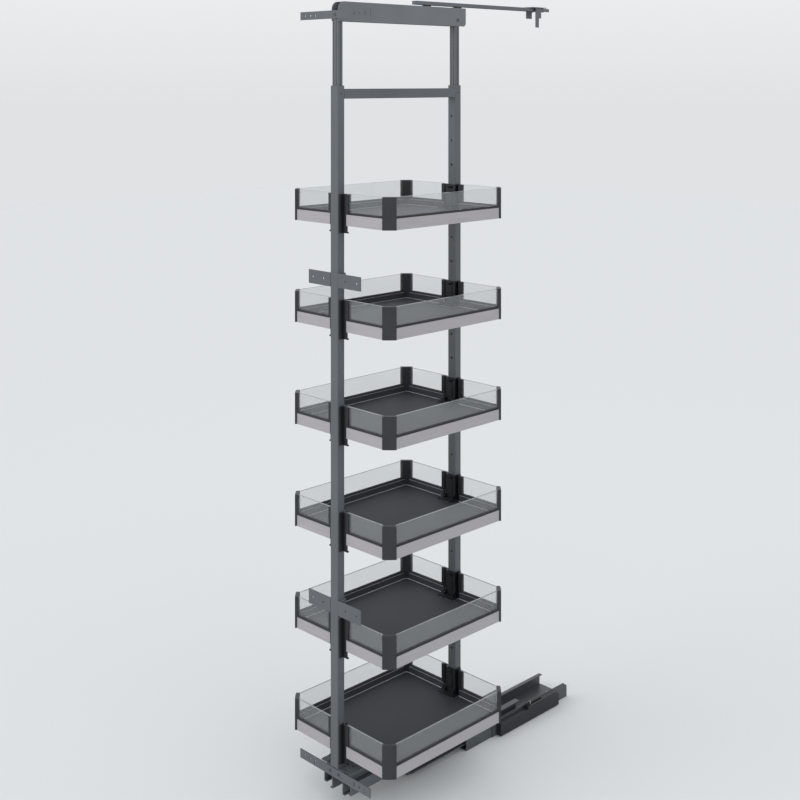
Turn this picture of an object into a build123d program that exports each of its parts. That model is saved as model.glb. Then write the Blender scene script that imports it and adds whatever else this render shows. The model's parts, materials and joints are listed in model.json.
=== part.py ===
from build123d import *
import math
import os

os.makedirs("parts", exist_ok=True)

# A tall pull out pantry frame, in millimetres, +Z up, +Y into the cabinet, X across it.
# The origin is the middle of the cabinet rail's fixing holes, on its underside.
# The frame is drawn pulled out, as it stands in use: the frame's middle is frame_out ahead.

# Driving dimensions of the whole unit
hole_pitch = 64.0            # hanging holes in the uprights
tray_count = 6
lowest_tray_z = 128.0        # underside of the lowest tray, level with the lowest hole
tray_width = 364.0
tray_depth = 420.0
upright_proud = 9.0          # how far each upright stands out of the trays' ends
upright_spread = tray_depth + 2 * upright_proud
upright_length = 1647.0
stroke = 400.0               # how far the frame travels to close
frame_setback = 12.0         # frame's middle ahead of the cabinet rail's when closed
frame_out = stroke + frame_setback
middle_out = stroke / 2      # the middle rail travels half as far

# Clearances
slide_gap = 0.3              # between pieces that slide on each other
ball_gap = 0.12              # round each ball
hole_gap = 0.1               # round a screw
overrun = 1.0                # how far a cut runs past a face

# Cabinet rail, a lipped channel fixed to the cabinet floor
rail_length = 424.0
base_width = 100.0
base_height = 31.0
base_gauge = 2.0
base_lip = 11.0
base_hole_x = 32.0
base_hole_y = 320.0
base_hole_d = 5.5

# Middle rail, an open channel with a foot and a flange on each wall
middle_width = 60.0
middle_height = 47.0
middle_gauge = 2.5
middle_lift = 4.0            # over the cabinet rail's floor
middle_foot = 14.0
middle_flange = 13.0

# Ball cages
cage_plate = 3.0
cage_wall = 1.4
cage_side_gap = 0.3
lower_cage_length = 180.0
upper_cage_length = 160.0
balls_in_row = 4
lower_ball_x = 40.0
upper_ball_x = 38.5
small_ball_x = 41.0
upper_row = 15.0             # height of the balls' gap under the carriage
small_ball_d = 4.0

# Carriage rail under the frame
carriage_gauge = 2.5
carriage_short = 22.0        # how much shorter it is than the uprights' spread
carriage_length = upright_spread - carriage_short
carriage_width = 97.0
carriage_lip = 9.0
carriage_top = 99.0
carriage_plate_width = 104.0
carriage_plate_over = 14.0   # top plate beyond the rail's rear end
carriage_front_over = 6.0    # top plate beyond the rail's front end
riser_width = 72.0
inner_wall_width = 40.0
inner_wall_drop = 32.0
inner_foot = 6.0
carriage_hole_d = 6.5
carriage_hole_x = 29.5
carriage_hole_pitch = 25.0
carriage_hole_back = 11.0    # first hole behind the upright's outer face
striker_reach = 15.5
striker_length = 10.0
striker_rim = 5.0

# Uprights and cross bar
upright_x = 26.0
upright_y = 22.0
upright_wall = 2.0
upright_corner = 1.5
hang_hole_d = 6.0
hang_hole_end = 19.0         # least room between the highest hole and the upright's top
lock_screw_d = 5.0
lock_screw_drop = 20.0       # below the upright's top
bar_height = 24.0
bar_drop = 8.0               # below the upright's top
bar_wall = 2.0

# Top section that telescopes out of the uprights
post_x = 20.0
post_y = 16.0
post_wall = 2.5
post_groove_w = 2.6
post_groove_d = 1.0
post_groove_x = 4.5
post_foot_gap = 0.2          # round the glide at the post's lower end
post_foot_length = 30.0
post_overlap = 150.0
post_top_over = 10.0         # above the screws in the beam
post_reach = 202.0           # from the upright's top to the top beam's web
beam_width = 25.0
beam_height = 48.0
beam_gauge = 2.0
beam_front_in = 3.0          # behind the front upright's outer face
beam_rear_over = 20.0        # behind the rear upright's outer face
beam_corner = 19.0
beam_rear_corner = 6.0
guide_rear_in = 2.0          # ahead of the rear upright's outer face
guide_pitch = 117.0
guide_base_x = 17.0
guide_base_y = 20.0
guide_base_h = 2.5
guide_peg_d = 17.0
top_screw_d = 5.0
top_screw_head_d = 8.0
top_screw_head_h = 2.0
top_screw_in = 6.0

# Plates for the cabinet's front panel
plate_width = 253.0
plate_gauge = 2.5
top_plate_height = 20.0
top_plate_lift = 6.0         # above the beam's lower edge
bottom_plate_height = 22.0
bottom_plate_drop = 2.0      # below the carriage's top
plate_hole_x = 89.0
plate_hole_d = 5.5
plate_slot_inner_x = 71.0
plate_slot_outer_x = 110.0
plate_slot_w = 4.0
plate_slot_h = 10.0
tab_width = 60.0
door_plate_width = 188.0
door_plate_gauge = 2.0
upper_door_plate_over = 124.0    # its middle, over the underside of the second tray
upper_door_plate_h = 34.0
lower_door_plate_over = 103.0    # its middle, over the underside of the last tray but one
lower_door_plate_h = 36.0
door_hole_in_x = 40.0
door_hole_out_x = 79.0
door_hole_d = 5.0
plate_screw_d = 5.0
plate_screw_head_d = 9.0
plate_screw_head_h = 1.6
plate_screw_x = 15.0
strap_screw_d = 5.0
strap_screw_head_h = 3.0

# Top guide rail and the bracket on the cabinet top that it slides through
top_rail_length = 540.0
top_rail_over = 46.0         # ahead of the front guide block's middle
top_rail_width = 22.0
top_rail_height = 9.0
top_rail_gauge = 2.0
top_rail_gap = 4.0           # over the beam
top_rail_nose = 9.0
bracket_width = 36.0
bracket_gauge = 2.0
bracket_length = 24.0
bracket_drop = 30.0
bracket_rear_in = 56.0       # ahead of the top rail's rear end
bracket_leg = 14.0
bracket_leg_drop = 56.0
bracket_tab_in = 9.5         # the tabs' inner ends, under the rail's walls
bracket_tab_gauge = 1.5
bracket_plate_length = 60.0
bracket_hole_pitch = 44.0
bracket_plate_width = 46.0
bracket_hole_x = 17.5
bracket_hole_d = 4.5

# Soft closing damper on the side of the cabinet rail
side_plate_length = 322.0
side_plate_height = 42.0
side_plate_gauge = 2.0
side_plate_end = 1.5         # short of the cabinet rail's rear end
side_plate_cut_y = 15.0
side_plate_cut_z = 11.5
damper_width = 16.0
damper_wall = 2.0
damper_lift = 2.0
damper_front_in = 17.5       # behind the side plate's front end
damper_low_length = 114.0
damper_high_length = 134.0
damper_low = 34.0
damper_high = 41.0
damper_round = 12.0
damper_slot_w = 6.0
catch_travel = 50.0
catch_length = 14.0
catch_top = 49.0
catch_body_low = 8.0
cylinder_d = 11.0
cylinder_length = 84.0
rod_d = 5.0
rod_gap = 0.2
rod_length = 100.0

# Trays
tray_corner = 24.0           # leg of the cut corner
rail_inset = 4.0             # the rails' outer faces stand back from the posts' edges
rail_height = 27.0
rail_depth = 10.0
rail_wall = 2.0
rail_shoulder = 3.0
rail_groove_depth = 6.0
rail_ledge = 4.0
ledge_low = 6.0
ledge_gauge = 2.0
glass_gauge = 4.0
glass_gap = 0.15
glass_top = 77.0
corner_post_height = 78.0
corner_post_gauge = 10.0
corner_post_bulge = 0.8
corner_post_round = 1.6
liner_gauge = 1.2
liner_top = 26.0
pan_gauge = 2.0
mat_gauge = 2.0
mat_edge_gap = 0.3
rim_inset = 16.5
rim_gauge = 1.5
rim_over = 0.6               # how far the rim stands above the mat

# Tray clamps that hug the uprights
clamp_wall = 4.2
clamp_back = 4.7
clamp_wrap = 17.0            # how much of the upright's side the clamp covers
clamp_top = 76.0
clamp_drop = 18.0
clamp_notch = 59.0           # gap in the tray's front and rear rails
wing_gauge = 4.0
wing_inset = 5.0
holder_width = 7.0
holder_depth = 9.0
holder_over = 5.5            # how far the holder covers the glass end
nub_reach = 4.0
nub_height = 3.5
foot_width = 56.0
foot_length = 22.0
foot_gauge = 3.0
foot_round = 10.0
arch_width = 14.0
arch_gauge = 1.2
arch_low = 17.0
arch_high = 62.0
side_arch_width = 9.0
side_arch_gauge = 0.8

# Places worked out from the sizes
half_rail = rail_length / 2
middle_low = base_gauge + middle_lift
middle_top = middle_low + middle_height
channel_height = base_height - 2 * base_gauge
ball_row = (channel_height - middle_gauge) / 2
ball_d = ball_row - 2 * ball_gap
foot_low = base_gauge + ball_row
deck_low = middle_top + upper_row
deck_ball_d = upper_row - 2 * ball_gap
deck_top = deck_low + carriage_gauge
flange_low = middle_top - middle_gauge
lip_top = flange_low - small_ball_d - 2 * ball_gap
wall_low = lip_top - carriage_gauge
upright_low = carriage_top
upright_top = upright_low + upright_length
upright_mid = (upright_spread - upright_y) / 2
upright_inner = upright_spread / 2 - upright_y
hang_room = upright_top - hang_hole_end
hang_hole_count = math.floor((hang_room - lowest_tray_z) / hole_pitch) + 1
tray_step_holes = (hang_hole_count - 1) // tray_count
beam_low = upright_top + post_reach + beam_gauge - beam_height
beam_top = beam_low + beam_height
top_rail_low = beam_top + top_rail_gap
top_rail_top = top_rail_low + top_rail_height
top_plate_front = -upright_mid - post_y / 2 - plate_gauge
half_x = tray_width / 2
half_y = tray_depth / 2
pan_low = ledge_low + ledge_gauge
mat_low = pan_low + pan_gauge
mat_top = mat_low + mat_gauge
beam_front = upright_spread / 2 - beam_front_in
beam_rear = upright_spread / 2 + beam_rear_over
guide_rear_y = upright_spread / 2 - guide_rear_in
guide_front_y = guide_rear_y - guide_pitch
top_rail_front = frame_out - guide_front_y + top_rail_over
bracket_y = top_rail_length - top_rail_front - bracket_rear_in
side_plate_front = half_rail - side_plate_end - side_plate_length
damper_front = side_plate_front + damper_front_in
damper_step = damper_front + damper_low_length
damper_rear = damper_step + damper_high_length
damper_x = base_width / 2 + side_plate_gauge
damper_mid = damper_x + damper_width / 2


def block(x0, x1, y0, y1, z0, z1):
    """A box between two corners."""
    middle = Pos((x0 + x1) / 2, (y0 + y1) / 2, (z0 + z1) / 2)
    return middle * Box(x1 - x0, y1 - y0, z1 - z0)


def both_sides(x0, x1, y0, y1, z0, z1):
    """The same box at +X and at -X."""
    return block(x0, x1, y0, y1, z0, z1) + block(-x1, -x0, y0, y1, z0, z1)


def rod_x(d, x0, x1, y, z):
    """A round bar along X."""
    return Pos((x0 + x1) / 2, y, z) * Rot(0, 90, 0) * Cylinder(d / 2, x1 - x0)


def rod_y(d, x, y0, y1, z):
    """A round bar along Y."""
    return Pos(x, (y0 + y1) / 2, z) * Rot(90, 0, 0) * Cylinder(d / 2, y1 - y0)


def rod_z(d, x, y, z0, z1):
    """A round bar along Z."""
    return Pos(x, y, (z0 + z1) / 2) * Cylinder(d / 2, z1 - z0)


def folded_outline(path, gauge):
    """The outline of a folded strip whose middle line is the given path."""
    left, right = [], []
    last = len(path) - 1
    for i, (px, py) in enumerate(path):
        ax, ay = path[max(i - 1, 0)]
        bx, by = path[min(i + 1, last)]
        before = Vector(px - ax, py - ay) if i > 0 else Vector(bx - px, by - py)
        after = Vector(bx - px, by - py) if i < last else before
        n0 = Vector(-before.Y, before.X).normalized()
        n1 = Vector(-after.Y, after.X).normalized()
        shift = (n0 + n1) * (gauge / 2 / (1 + n0.dot(n1)))
        left.append((px + shift.X, py + shift.Y))
        right.append((px - shift.X, py - shift.Y))
    return left + right[::-1]


def folded_sheet(path, gauge, plane, start, end):
    """A strip folded along the path in a plane, and as long as start to end along its normal."""
    face = make_face(Polyline(*folded_outline(path, gauge), close=True).edges())
    return extrude(plane.offset(start) * face, end - start)


def along_y(path, gauge, y0, y1):
    """A strip folded in X and Z, and running along Y."""
    section = Plane(origin=(0, 0, 0), x_dir=(1, 0, 0), z_dir=(0, -1, 0))
    return folded_sheet(path, gauge, section, -y1, -y0)


def along_z(path, gauge, z0, z1):
    """A strip folded in X and Y, and running along Z."""
    return folded_sheet(path, gauge, Plane.XY, z0, z1)


def at_frame(shape):
    """A piece drawn about the frame's middle, moved to where the frame stands."""
    return Pos(0, -frame_out, 0) * shape


def save(name, *solids):
    """Write one node from one or more separate solids."""
    pieces = [s for shape in solids for s in shape.solids()]
    body = Compound(children=pieces) if len(pieces) > 1 else pieces[0]
    export_step(body, f"parts/{name}.step")
    print(f"{name}: {len(pieces)} solids, {sum(p.volume for p in pieces) / 1000:.1f} cm3")


def tube(x, y, wall, z0, z1, corner):
    """A square tube standing up, centred in X and Y."""
    outer = extrude(Plane.XY.offset(z0) * RectangleRounded(x, y, corner), z1 - z0)
    inner = block(-x / 2 + wall, x / 2 - wall, -y / 2 + wall, y / 2 - wall,
                  z0 - overrun, z1 + overrun)
    return outer - inner


def base_rail():
    """The lipped channel that is screwed to the cabinet floor."""
    side = (base_width - base_gauge) / 2
    lip_end = base_width / 2 - base_lip
    low, high = base_gauge / 2, base_height - base_gauge / 2
    path = [(-lip_end, high), (-side, high), (-side, low),
            (side, low), (side, high), (lip_end, high)]
    rail = along_y(path, base_gauge, -half_rail, half_rail)
    for x in (-base_hole_x / 2, base_hole_x / 2):
        for y in (-base_hole_y / 2, base_hole_y / 2):
            rail -= rod_z(base_hole_d, x, y, -overrun, base_gauge + overrun)
    return rail


def side_plate():
    """The plate beside the cabinet rail that carries the damper."""
    x0, x1 = base_width / 2, base_width / 2 + side_plate_gauge
    y0, y1 = side_plate_front, half_rail - side_plate_end
    outline = [(y0, 0), (y1, 0), (y1, side_plate_height - side_plate_cut_z),
               (y1 - side_plate_cut_y, side_plate_height), (y0, side_plate_height)]
    face = make_face(Polyline(*outline, close=True).edges())
    return extrude(Plane.YZ.offset(x0) * face, x1 - x0)


def damper_housing():
    """The case on the side plate: low in front, higher behind, with a slot for the catch."""
    x0, x1 = damper_x, damper_x + damper_width
    low = block(x0, x1, damper_front, damper_step, damper_lift, damper_low)
    high = block(x0, x1, damper_step, damper_rear, damper_lift, damper_high)
    rear_edge = high.edges().filter_by(Axis.X).group_by(Axis.Y)[-1].sort_by(Axis.Z)[-1]
    high = fillet(rear_edge, damper_round)
    case = low + high
    inside_high = damper_high - damper_wall
    case -= block(x0 + damper_wall, x1 - damper_wall, damper_step - overrun,
                  damper_rear - damper_round, damper_lift + damper_wall, inside_high)
    case -= block(x0 + damper_wall, x1 - damper_wall, damper_front + damper_wall,
                  damper_step, damper_lift + damper_wall, damper_low - damper_wall)
    slot_end = damper_step + catch_travel + catch_length + damper_wall
    case -= block(damper_mid - damper_slot_w / 2, damper_mid + damper_slot_w / 2,
                  damper_step - overrun, slot_end, damper_low - damper_wall,
                  damper_high + overrun)
    return case


def catch_pieces():
    """The catch that runs in the slot, and the rod that it pulls out of the cylinder."""
    y0 = damper_step + slide_gap
    y1 = y0 + catch_length
    body_half = damper_width / 2 - damper_wall - slide_gap
    neck_half = damper_slot_w / 2 - slide_gap
    body = block(damper_mid - body_half, damper_mid + body_half, y0, y1,
                 damper_lift + damper_wall + catch_body_low, damper_high - damper_wall - slide_gap)
    neck = block(damper_mid - neck_half, damper_mid + neck_half, y0, y1,
                 damper_high - damper_wall - slide_gap - overrun, catch_top)
    notch = block(damper_mid - damper_width, damper_mid + damper_width,
                  y0 + catch_length / 3, y1 - catch_length / 3,
                  (damper_high + catch_top) / 2, catch_top + overrun)
    rod = rod_y(rod_d, damper_mid, y0 - rod_length, y0, cylinder_z())
    return body + neck - notch, rod


def cylinder_z():
    """Height of the damper cylinder's axis."""
    return damper_lift + damper_wall + slide_gap + cylinder_d / 2 + catch_body_low / 2


def damper_cylinder():
    """The oil cylinder that lies in the front half of the case."""
    y0 = damper_front + damper_wall
    y1 = y0 + cylinder_length
    z = cylinder_z()
    bore = rod_y(rod_d + 2 * rod_gap, damper_mid, y0 + damper_wall, y1 + overrun, z)
    return rod_y(cylinder_d, damper_mid, y0, y1, z) - bore


def middle_rail():
    """The rail between the cabinet rail and the carriage."""
    x = middle_width / 2
    wall = x - middle_gauge
    y0, y1 = -half_rail - middle_out, half_rail - middle_out
    floor = block(-x, x, y0, y1, middle_low, middle_low + middle_gauge)
    walls = both_sides(wall, x, y0, y1, middle_low, middle_top)
    feet = both_sides(x, x + middle_foot, y0, y1, foot_low, foot_low + middle_gauge)
    flanges = both_sides(x, x + middle_flange, y0, y1, flange_low, middle_top)
    return floor + walls + feet + flanges


def ball_rows(x, z, d, y_mid, length):
    """One row of balls on each side."""
    pitch = (length - 2 * d) / (balls_in_row - 1)
    places = [y_mid + (i - (balls_in_row - 1) / 2) * pitch for i in range(balls_in_row)]
    return [Pos(side * x, y, z) * Sphere(d / 2) for side in (-1, 1) for y in places]


def ball_pockets(x, z, d, y_mid, length):
    """The clearance round each ball of a row."""
    pocket_d = d + 2 * ball_gap
    pitch = (length - 2 * d) / (balls_in_row - 1)
    places = [y_mid + (i - (balls_in_row - 1) / 2) * pitch for i in range(balls_in_row)]
    pockets = [Pos(side * x, y, z) * Sphere(pocket_d / 2) for side in (-1, 1) for y in places]
    return pockets


def lower_cages():
    """Cages and balls between the cabinet rail and the middle rail."""
    y_mid = -middle_out / 2
    y0, y1 = y_mid - lower_cage_length / 2, y_mid + lower_cage_length / 2
    z_low = base_gauge + ball_row / 2
    z_high = foot_low + middle_gauge + ball_row / 2
    x_in = middle_width / 2 + cage_side_gap
    x_out = base_width / 2 - base_gauge - cage_side_gap
    cages = both_sides(x_out - cage_wall, x_out, y0, y1,
                       z_low - cage_plate / 2, z_high + cage_plate / 2)
    for z in (z_low, z_high):
        cages += both_sides(x_in, x_out, y0, y1, z - cage_plate / 2, z + cage_plate / 2)
    balls = []
    for z in (z_low, z_high):
        for pocket in ball_pockets(lower_ball_x, z, ball_d, y_mid, lower_cage_length):
            cages -= pocket
        balls += ball_rows(lower_ball_x, z, ball_d, y_mid, lower_cage_length)
    return cages, balls


def upper_cages():
    """Cages and balls between the middle rail and the carriage."""
    y_front = -frame_out - carriage_length / 2
    y_mid = (-half_rail - middle_out - frame_out + carriage_length / 2) / 2
    assert y_mid - upper_cage_length / 2 > y_front
    y0, y1 = y_mid - upper_cage_length / 2, y_mid + upper_cage_length / 2
    z_low = lip_top + ball_gap + small_ball_d / 2
    z_high = middle_top + upper_row / 2
    x_in = middle_width / 2 + cage_side_gap
    x_out = carriage_width / 2 - carriage_gauge - cage_side_gap
    thin = small_ball_d / 3
    cages = both_sides(x_out - cage_wall, x_out, y0, y1, z_low - thin / 2, z_high + cage_plate / 2)
    cages += both_sides(x_in, x_out, y0, y1, z_high - cage_plate / 2, z_high + cage_plate / 2)
    cages += both_sides(x_in, x_out, y0, y1, z_low - thin / 2, z_low + thin / 2)
    balls = []
    rows = ((upper_ball_x, z_high, deck_ball_d), (small_ball_x, z_low, small_ball_d))
    for x, z, d in rows:
        for pocket in ball_pockets(x, z, d, y_mid, upper_cage_length):
            cages -= pocket
        balls += ball_rows(x, z, d, y_mid, upper_cage_length)
    return cages, balls


def carriage_rail():
    """The rail under the frame, with the plate that the uprights stand on."""
    g = carriage_gauge
    half = carriage_length / 2
    x = carriage_width / 2
    riser = riser_width / 2
    inner = inner_wall_width / 2
    rail = block(-x, x, -half, half, deck_low, deck_top)
    rail += both_sides(x - g, x, -half, half, wall_low, deck_low)
    rail += both_sides(x - carriage_lip, x, -half, half, wall_low, lip_top)
    rail += both_sides(riser - g, riser, -half, half, deck_top, carriage_top - g)
    rail += both_sides(inner - g, inner, -half, half, deck_low - inner_wall_drop, deck_low)
    rail += both_sides(inner, inner + inner_foot, -half, half,
                       deck_low - inner_wall_drop, deck_low - inner_wall_drop + g)
    y0, y1 = -half - carriage_front_over, half + carriage_plate_over
    rail += block(-carriage_plate_width / 2, carriage_plate_width / 2, y0, y1,
                  carriage_top - g, carriage_top)
    plate_low = carriage_top - bottom_plate_drop - bottom_plate_height
    tab_y = -upright_spread / 2 + plate_gauge
    rail += block(-tab_width / 2, tab_width / 2, tab_y, y0 + g, plate_low, carriage_top)
    strike_y = damper_step + catch_travel + frame_setback
    rail += block(x - g, x + striker_reach, strike_y - striker_length, strike_y,
                  wall_low, wall_low + g)
    rail += block(x + striker_reach - g, x + striker_reach, strike_y - striker_length, strike_y,
                  wall_low, wall_low + g + striker_rim)
    for side in (-1, 1):
        for end in (-1, 1):
            for step in (0, 1):
                y = end * (upright_spread / 2 - carriage_hole_back - step * carriage_hole_pitch)
                rail -= rod_z(carriage_hole_d, side * carriage_hole_x, y,
                              carriage_top - g - overrun, carriage_top + overrun)
    for side in (-1, 1):
        rail -= rod_y(plate_screw_d + 2 * hole_gap, side * plate_screw_x, tab_y - overrun,
                      y0 + g + overrun, bottom_plate_mid())
    return rail


def bottom_plate_mid():
    """Height of the bottom front plate's middle."""
    return carriage_top - bottom_plate_drop - bottom_plate_height / 2


def top_plate_mid():
    """Height of the top front plate's middle."""
    return beam_low + top_plate_lift + top_plate_height / 2


def upright(side):
    """A square tube with hanging holes in its inner face; side is -1 in front, 1 behind."""
    post = tube(upright_x, upright_y, upright_wall, upright_low, upright_top, upright_corner)
    post = Pos(0, side * upright_mid, 0) * post
    inner = side * upright_inner
    for i in range(hang_hole_count):
        z = lowest_tray_z + i * hole_pitch
        post -= rod_y(hang_hole_d, 0, inner - upright_wall - overrun, inner + upright_wall + overrun, z)
    post -= rod_x(lock_screw_d + 2 * hole_gap, upright_x / 2 - upright_wall - overrun,
                  upright_x / 2 + overrun, side * upright_mid, upright_top - lock_screw_drop)
    return post


def cross_bar():
    """The tube that ties the two uprights together near their tops."""
    z1 = upright_top - bar_drop
    z0 = z1 - bar_height
    w = bar_wall
    outer = block(-upright_x / 2, upright_x / 2, -upright_inner, upright_inner, z0, z1)
    inner = block(-upright_x / 2 + w, upright_x / 2 - w, -upright_inner - overrun,
                  upright_inner + overrun, z0 + w, z1 - w)
    outer = fillet(outer.edges().filter_by(Axis.Y), upright_corner)
    return outer - inner


def upper_plate_mid():
    """Height of the upper door plate's middle."""
    return tray_level(2) + upper_door_plate_over


def lower_plate_mid():
    """Height of the lower door plate's middle."""
    return tray_level(tray_count - 1) + lower_door_plate_over


def door_plate(z_mid, height):
    """A strip folded round the front upright, with a wing on each side for the front panel."""
    g = door_plate_gauge
    y_wing = -upright_spread / 2 + g / 2
    y_back = -upright_inner + slide_gap + g / 2
    x_side = upright_x / 2 + slide_gap + g / 2
    end = door_plate_width / 2
    path = [(-end, y_wing), (-x_side, y_wing), (-x_side, y_back),
            (x_side, y_back), (x_side, y_wing), (end, y_wing)]
    z0, z1 = z_mid - height / 2, z_mid + height / 2
    plate = along_z(path, g, z0, z1)
    for x in (door_hole_in_x, door_hole_out_x):
        for side in (-1, 1):
            plate -= rod_y(door_hole_d, side * x, y_wing - g, y_wing + g, z_mid)
    plate -= rod_y(strap_screw_d + 2 * hole_gap, 0, y_back - g, y_back + g, z_mid + height / 4)
    return plate


def front_plate(z_mid, height, y_front, screw_places):
    """A plate across the front, with a hole and two slots near each end."""
    x = plate_width / 2
    plate = block(-x, x, y_front, y_front + plate_gauge, z_mid - height / 2, z_mid + height / 2)
    y0, y1 = y_front - overrun, y_front + plate_gauge + overrun
    straight = (plate_slot_h - plate_slot_w) / 2
    for side in (-1, 1):
        plate -= rod_y(plate_hole_d, side * plate_hole_x, y0, y1, z_mid)
        for slot_x in (plate_slot_inner_x, plate_slot_outer_x):
            plate -= block(side * slot_x - plate_slot_w / 2, side * slot_x + plate_slot_w / 2,
                           y0, y1, z_mid - straight, z_mid + straight)
            for end in (-1, 1):
                plate -= rod_y(plate_slot_w, side * slot_x, y0, y1, z_mid + end * straight)
    for x_screw in screw_places:
        plate -= rod_y(plate_screw_d + 2 * hole_gap, x_screw, y0, y1, z_mid)
    return plate


def front_screw(x, y_face, z, reach):
    """A screw that goes in along +Y, with its head on the face at y_face."""
    head = rod_y(plate_screw_head_d, x, y_face - plate_screw_head_h, y_face, z)
    return head + rod_y(plate_screw_d, x, y_face, y_face + reach, z)


def frame_screws():
    """The frame's own screws: front plate, door plates and height locks."""
    y_face = -upright_spread / 2
    reach = plate_gauge + carriage_gauge
    screws = [front_screw(s * plate_screw_x, y_face, bottom_plate_mid(), reach) for s in (-1, 1)]
    y_back = -upright_inner + slide_gap
    plates = ((upper_plate_mid(), upper_door_plate_h), (lower_plate_mid(), lower_door_plate_h))
    for z_mid, height in plates:
        screws.append(rod_y(strap_screw_d, 0, y_back, y_back + door_plate_gauge + strap_screw_head_h,
                            z_mid + height / 4))
    for side in (-1, 1):
        screws.append(rod_x(lock_screw_d, upright_x / 2 - upright_wall, upright_x / 2,
                            side * upright_mid, upright_top - lock_screw_drop))
    return screws


def inner_post(side):
    """The grooved profile that slides in an upright and carries the top beam."""
    z0 = upright_top - post_overlap
    z1 = top_plate_mid() + post_top_over
    post = tube(post_x, post_y, post_wall, z0, z1, post_groove_d)
    for x in (-post_groove_x, post_groove_x):
        for face in (-1, 1):
            y = face * post_y / 2
            post -= block(x - post_groove_w / 2, x + post_groove_w / 2, y - post_groove_d,
                          y + post_groove_d, z0 - overrun, z1 + overrun)
    for face in (-1, 1):
        x = face * post_x / 2
        post -= block(x - post_groove_d, x + post_groove_d, -post_groove_w / 2,
                      post_groove_w / 2, z0 - overrun, z1 + overrun)
    glide_x = upright_x - 2 * upright_wall - 2 * post_foot_gap
    glide_y = upright_y - 2 * upright_wall - 2 * post_foot_gap
    glide_wall = post_wall + (glide_x - post_x) / 2
    post += tube(glide_x, glide_y, glide_wall, z0 - post_foot_length, z0, post_groove_d)
    post = Pos(0, side * upright_mid, 0) * post
    post -= rod_x(top_screw_d + 2 * hole_gap, -post_x, post_x, side * upright_mid, top_plate_mid())
    if side < 0:
        face = -upright_mid - post_y / 2
        post -= rod_y(plate_screw_d + 2 * hole_gap, 0, face - overrun, face + post_wall + overrun,
                      top_plate_mid())
    return post


def top_beam():
    """The channel that joins the two inner posts and carries the top guides."""
    g = beam_gauge
    x = beam_width / 2
    outer = block(-x, x, -beam_front, beam_rear, beam_low, beam_top)
    front_edge = outer.edges().filter_by(Axis.X).group_by(Axis.Y)[0].sort_by(Axis.Z)[-1]
    outer = fillet(front_edge, beam_corner)
    rear_edge = outer.edges().filter_by(Axis.X).group_by(Axis.Y)[-1].sort_by(Axis.Z)[0]
    outer = chamfer(rear_edge, beam_rear_corner)
    beam = outer - block(-x + g, x - g, -beam_front - overrun, beam_rear + overrun,
                         beam_low - overrun, beam_top - g)
    beam -= block(-x + g, x - g, -beam_front - overrun, -beam_front + beam_corner,
                  beam_low - overrun, beam_top + overrun)
    for side in (-1, 1):
        beam -= rod_x(top_screw_d + 2 * hole_gap, -beam_width, beam_width,
                      side * upright_mid, top_plate_mid())
    for y in (guide_front_y, guide_rear_y):
        beam -= rod_z(top_screw_d, 0, y, beam_top - g - overrun, beam_top + overrun)
    return beam


def top_screws():
    """Screws through the beam's sides into the inner posts, and one through the front plate."""
    x0 = beam_width / 2
    screws = [front_screw(0, top_plate_front, top_plate_mid(), plate_gauge + post_wall)]
    for side in (-1, 1):
        y = side * upright_mid
        for face in (-1, 1):
            inner = face * (x0 - top_screw_in)
            outer = face * x0
            head = face * (x0 + top_screw_head_h)
            shank = rod_x(top_screw_d, min(inner, outer), max(inner, outer), y, top_plate_mid())
            shank += rod_x(top_screw_head_d, min(outer, head), max(outer, head), y, top_plate_mid())
            screws.append(shank)
    return screws


def guide_block(y):
    """A low block on the beam, with a round peg that runs in the top rail."""
    base = block(-guide_base_x / 2, guide_base_x / 2, y - guide_base_y / 2, y + guide_base_y / 2,
                 beam_top, beam_top + guide_base_h)
    peg_top = top_rail_top - top_rail_gauge - slide_gap
    peg = rod_z(guide_peg_d, 0, y, beam_top + guide_base_h, peg_top)
    stem = rod_z(top_screw_d, 0, y, beam_top - beam_gauge, beam_top + overrun)
    return base + peg + stem


def top_rail():
    """The guide channel on the cabinet top, open below."""
    g = top_rail_gauge
    x = top_rail_width / 2
    y0 = -top_rail_front
    y1 = y0 + top_rail_length
    outer = block(-x, x, y0, y1, top_rail_low, top_rail_top)
    nose = outer.edges().filter_by(Axis.Z).group_by(Axis.Y)[0]
    outer = fillet(nose, top_rail_nose)
    rail = outer - block(-x + g, x - g, y0 + top_rail_nose, y1 + overrun,
                         top_rail_low - overrun, top_rail_top - g)
    return rail


def top_rail_bracket():
    """A strap over the top rail, with an ear and a tab on each side to carry the rail."""
    g = bracket_gauge
    x = bracket_width / 2 - g / 2
    high = top_rail_top + slide_gap + g / 2
    path = [(-x, high - bracket_drop), (-x, high), (x, high), (x, high - bracket_drop)]
    y0, y1 = bracket_y - bracket_length / 2, bracket_y + bracket_length / 2
    strap = along_y(path, g, y0, y1)
    half_plate = bracket_plate_length / 2
    strap += block(-bracket_plate_width / 2, bracket_plate_width / 2, bracket_y - half_plate,
                   bracket_y + half_plate, high - g / 2, high + g / 2)
    tab_high = top_rail_low - slide_gap
    strap += both_sides(bracket_tab_in, x, y0, y1, tab_high - bracket_tab_gauge, tab_high)
    for side in (-1, 1):
        for end in (-1, 1):
            strap -= rod_z(bracket_hole_d, side * bracket_hole_x,
                           bracket_y + end * bracket_hole_pitch / 2, high - g, high + g)
    leg = block(x - g / 2, x + g / 2, y0, y0 + bracket_leg,
                high - bracket_leg_drop, high - bracket_drop)
    return strap + leg


def cut_corner_plan(x, y, leg):
    """The outline of a rectangle with its corners cut off."""
    return [(-x + leg, -y), (x - leg, -y), (x, -y + leg), (x, y - leg),
            (x - leg, y), (-x + leg, y), (-x, y - leg), (-x, -y + leg)]


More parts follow.
